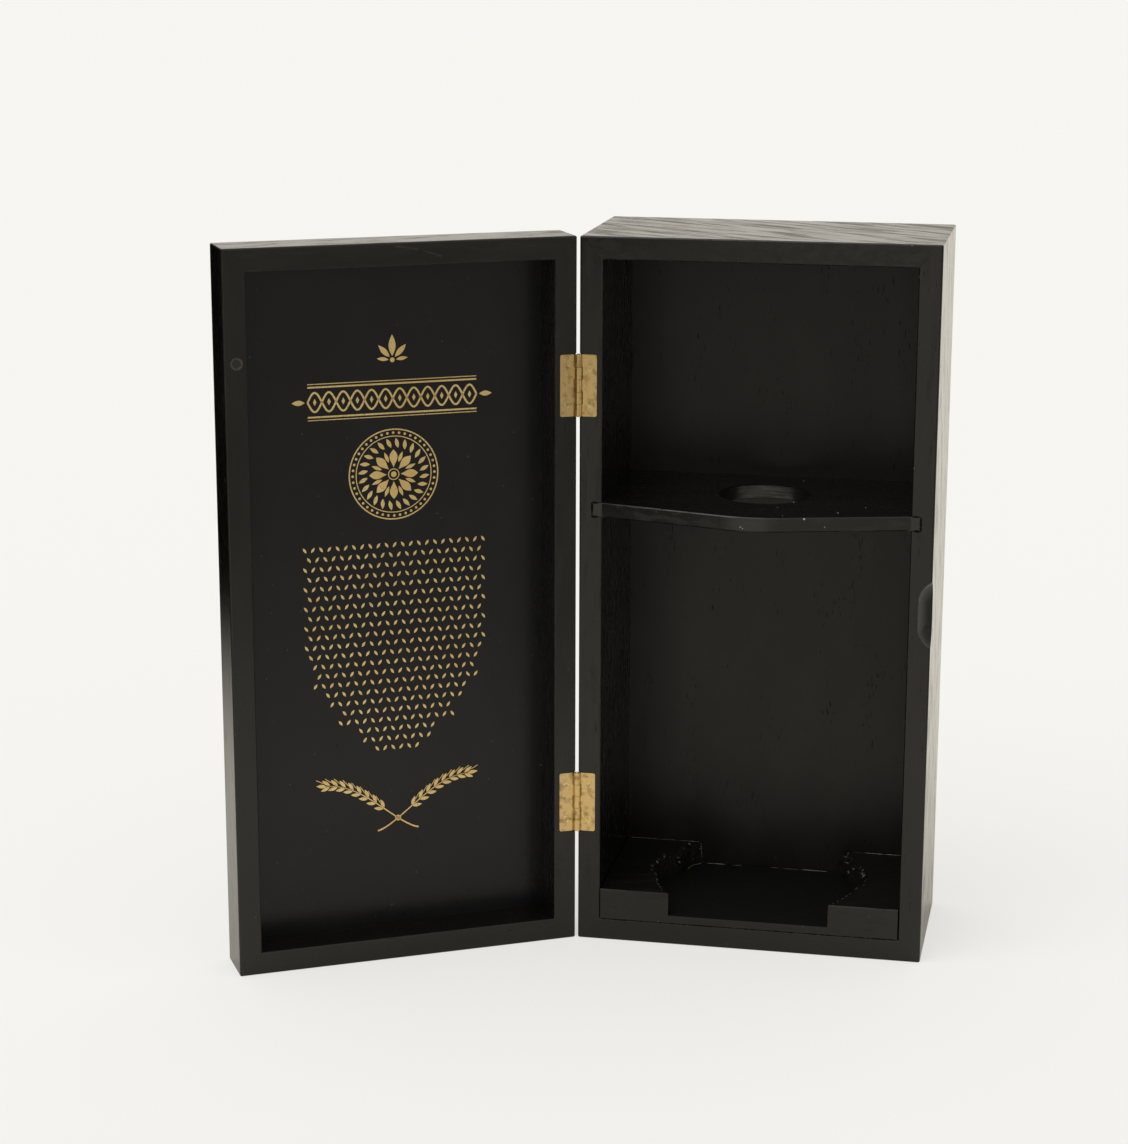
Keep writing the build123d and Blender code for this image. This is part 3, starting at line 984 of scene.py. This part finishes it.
def shelf_chips():
    """Chips and grit on the neck shelf, each where it is on the real one: its place and its size."""
    dice = random.Random(5)
    mesh = bmesh.new()
    spots = (
        (22.4, -50.1, 193.6, 1.0), (14.0, -19.2, 193.6, 0.9), (34.3, -35.8, 193.6, 0.9),
        (44.6, -23.7, 193.6, 0.7), (12.9, 25.4, 193.6, 0.8), (8.7, -30.6, 193.6, 0.6),
        (12.7, -45.8, 193.6, 0.6), (-3.8, -52.5, 189.5, 0.8), (-2.9, -52.5, 188.9, 0.5),
        (47.5, -38.0, 190.5, 0.5), (30.0, -46.0, 189.6, 0.5),
    )
    for x, y, z, size in spots:
        add_flake(mesh, *settled("neck_shelf", x, y, z), size, dice)
    add_piece("shelf_chips", mesh, "base", "bare_wood", pale_grit)


shelf_chips()

# The lacquer round the magnets: one stands in a ring of it, and the others lie under a film. A
# profile's corners give a radius and a height over the rim.
RING_PROFILE = ((1.75, -0.16), (1.9, -0.05), (2.4, -0.03), (2.6, -0.02), (2.6, -0.16))
FILM_PROFILE = ((0.0, -0.05), (0.0, 0.02), (2.7, 0.02), (2.95, 0.012), (3.1, -0.02))
rim_boards = {"lid": "lid_free_stile", "base": "base_latch_side_board"}


def turned_mesh(centre, outwards, profile, count=56):
    """A closed turned shape. Its profile gives radius and height along outwards."""
    aside = outwards.orthogonal().normalized()
    across = outwards.cross(aside)
    mesh = bmesh.new()
    rows = []
    for k in range(count):
        angle = 2 * pi * k / count
        way = aside * cos(angle) + across * sin(angle)
        rows.append([mesh.verts.new(centre + way * radius + outwards * lift) for radius, lift in profile])
    for k in range(count):
        here, there = rows[k], rows[(k + 1) % count]
        for n in range(len(profile)):
            m = (n + 1) % len(profile)
            mesh.faces.new((here[n], here[m], there[m], there[n]))
    bmesh.ops.remove_doubles(mesh, verts=mesh.verts, dist=1e-4)
    return mesh


def magnet_rim(name, body, profile, suffix, material):
    """Lacquer round or over a magnet, turned about its middle and set on the rim."""
    low, high = (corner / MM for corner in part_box(name))
    outwards = lid_facing if body == "lid" else -BACK
    rim = reach(rim_boards[body], outwards)[1] / MM
    middle = (low + high) / 2
    centre = middle + outwards * (rim - middle.dot(outwards))
    add_piece(name + suffix, turned_mesh(centre, outwards, profile), body, "black_frame", material)


for node in frame["nodes"]:
    half = node.split("_")[0]
    if node == "lid_magnet_upper":
        magnet_rim(node, half, RING_PROFILE, "_ring", ring_paint)
    elif "magnet" in node:
        rim_lacquer = frame["nodes"][rim_boards[half]].data.materials[0]
        magnet_rim(node, half, FILM_PROFILE, "_film", rim_lacquer)


def hole_lining():
    """The drilled wall of the neck hole, cut rough and thinly stained, with painted light between its
    left and right sides, which are painted dark as shade.
    """
    finish = Finish("drilled_wall", IOR=1.45)
    x, y, z = finish.axes()
    score = finish.speckle(x / 9, y / 9, z / 0.6, 2.0)
    patch = finish.speckle(x / 5, y / 5, z / 4, 2.0)
    # Painted light and shade: the stain shows between the wall's left and right sides, and the sides are
    # painted dark
    lit = finish.step(x, -15.0, -11.0) * (1 - finish.step(x, 8.0, 11.5))
    colour = finish.blend(finish.step(score + 0.4 * patch, 0.5, 0.9), BRUISED, THIN_STAIN)
    colour = finish.blend(lit, DEEP_PORE, colour)
    finish.feed(Base_Color=colour, Roughness=0.45 + 0.3 * score, Normal=finish.relief(score, 0.15))
    easing = 0.32
    lining_depth = 0.03
    inner, outer = neck_radius - lining_depth, neck_radius + lining_depth
    low, high = shelf_low + easing, shelf_top - easing
    profile = ((inner, low), (inner, high), (outer, high), (outer, low))
    mesh = turned_mesh(BACK * bottle_axis_y, UP, profile, 96)
    add_piece("neck_hole_drilled_wall", mesh, "base", "black_fittings", finish.material)


hole_lining()

base_rim_y = reach("base_latch_side_board", BACK)[0] / MM


def joint_shade_lines():
    """Painted shadow in the base's open joints, round the shelf's tongues and along the cradle's foot."""
    # Painted shadow: dark ridges laid along the joints, where the joints are dark with shade
    finish = Finish("joint_filler", Specular_IOR_Level=0.1)
    x, z = (finish.distance(Vector(), way) for way in (RIGHT, UP))
    crumb = finish.speckle(x / 0.4, z / 0.4, 0.0, 2.0)
    finish.feed(Base_Color=finish.blend(crumb, DEEP_PORE, LACQUER), Roughness=0.6 + 0.3 * crumb)
    dice = random.Random(6)
    mesh = bmesh.new()
    near, far = (edge / MM for edge in reach("neck_shelf", RIGHT))
    opening = reach("base_latch_side_board", RIGHT)[0] / MM
    for side, end in ((1, far), (-1, -near)):
        corners = ((opening, shelf_top), (end, shelf_top), (end, shelf_low), (opening, shelf_low))
        tongue = [Vector((side * across, base_rim_y, height)) for across, height in corners]
        add_sliver(mesh, tongue, -BACK, width=1.5, rise=0.22, dice=dice)
    foot = [Vector((across, base_rim_y, cradle_low.z)) for across in (-opening, opening)]
    add_sliver(mesh, foot, -BACK, width=0.85, rise=0.16, dice=dice)
    add_piece("open_joint_filler", mesh, "base", "black_frame", finish.material)


joint_shade_lines()

# The thumb scoop. Its cutter's axis stood off the arris by the same distance both ways.
scoop_length = 28.2
scoop_cutter_radius = 11.0
scoop_stand_off = 4.53
scoop_lip_radius = 10.03
scoop_straight = scoop_length - 2 * sqrt(scoop_cutter_radius**2 - 2 * scoop_stand_off**2)


def scoop_rim():
    """A painted highlight on the thumb scoop's lip, where it meets the rim, up to just short of the arris.
    """
    arris = reach("base_latch_side_board", RIGHT)[1] / MM
    middle = reach("base_latch_side_board", UP)[1] / MM / 2
    short_of_arris = 0.4
    steps = 24
    outline = []
    for k in range(steps + 1):
        angle = pi / 2 + pi * k / steps
        end = scoop_straight / 2 * (1 if k <= steps / 2 else -1)
        x = arris + scoop_stand_off + scoop_lip_radius * cos(angle)
        z = middle + end + scoop_lip_radius * sin(angle)
        if x < arris - short_of_arris:
            outline.append(Vector((x, base_rim_y, z)))
    mesh = bmesh.new()
    add_sliver(mesh, outline, -BACK, width=0.65, rise=0.11, dice=random.Random(8))
    # Painted highlight: a pale ragged ridge along the scoop's lip
    rubbed_lip = torn_fibre("rubbed_lip", 1.0, PAINTED_LIP_HIGHLIGHT, BRUISED)
    add_piece("thumb_scoop_lip", mesh, "base", "black_frame", rubbed_lip)


scoop_rim()

# Studio: a wide pale floor and a pale background. Reflections see less of both: the room is dark on the
# left, and dimmer in front and towards the right.

BLACK = (0, 0, 0)
PAPER = (0.90, 0.892, 0.862)
PAPER_GLOW = (0.90, 0.855, 0.76)
BACKDROP = (0.930, 0.922, 0.888)
FLOOR_GLOW = (0.915, 0.907, 0.874)
ROOM_LIGHT = (0.82, 0.815, 0.80)
ROOM_DARK = (0.02, 0.02, 0.02)
ROOM_WALL = (0.95, 0.90, 0.80)
shadow_softening = 0.66
floor_half_width = 12.0


def sweep_floor():
    """The floor. The camera sees the shadows on it softened."""
    finish = Finish("sweep_paper", Roughness=0.9, Specular_IOR_Level=0.0, Emission_Strength=1.0)
    x = finish.distance(Vector(), RIGHT)
    forward = finish.distance(Vector(), -BACK)
    left_end = finish.step(x, -640.0, -350.0)
    near_front = 1 - 0.20 * finish.step(forward, 100.0, 800.0)
    front_right = 1 - 0.48 * finish.step(x, 0.0, 350.0) * finish.step(forward, 0.0, 300.0)
    mirrored = left_end * near_front * front_right
    glossy = finish.ray("Is Glossy Ray")
    camera = finish.ray("Is Camera Ray")
    share = (1 - glossy * (1 - mirrored)) * (1 - shadow_softening * camera)
    colour = finish.blend(share, BLACK, finish.blend(glossy, PAPER, PAPER_GLOW))
    shine = finish.blend(camera * shadow_softening, BLACK, FLOOR_GLOW)
    finish.feed(Base_Color=colour, Emission_Color=shine)

    mesh = bmesh.new()
    bmesh.ops.create_grid(mesh, x_segments=1, y_segments=1, size=floor_half_width)
    floor = add_mesh("floor", mesh, [finish.material])


def studio_light():
    """Soft light from all round, a wide soft lamp overhead to the left, and a pale background."""
    world = bpy.data.worlds.new("studio")
    world.use_nodes = True
    bpy.context.scene.world = world
    room = Shading(world.node_tree, "Background")
    way = room.node("ShaderNodeTexCoord", output="Generated")
    rightward = room.vector("DOT_PRODUCT", way, RIGHT, output=1)
    backward = room.vector("DOT_PRODUCT", way, BACK, output=1)
    mirrored = (0.55 + 0.43 * room.step(backward, -0.3, 0.5)) * room.step(rightward, -0.62, -0.38)
    reflection = room.blend(mirrored, ROOM_DARK, ROOM_WALL)
    light = room.blend(room.ray("Is Glossy Ray"), ROOM_LIGHT, reflection)
    light = room.blend(room.ray("Is Camera Ray"), light, BACKDROP)
    room.feed(Color=light)

    lamp = bpy.data.lights.new("overhead", "SUN")
    lamp.energy = 0.9
    lamp.angle = radians(50)
    overhead = add_object("overhead", lamp)
    overhead.rotation_euler = (radians(28), radians(-22), 0)


def photograph_camera():
    """The camera, solved from the box's own corners."""
    data = bpy.data.cameras.new("camera")
    data.sensor_fit = "AUTO"
    data.sensor_width = 36.0
    data.lens = 87.670
    data.clip_end = 100.0
    camera = add_object("camera", data)
    camera.location = (0.147564, -1.155274, 0.440113)
    camera.rotation_euler = (radians(76.3567), radians(-0.1037), radians(11.5470))
    bpy.context.scene.camera = camera


sweep_floor()
studio_light()
photograph_camera()
bpy.context.scene.view_settings.view_transform = "Standard"
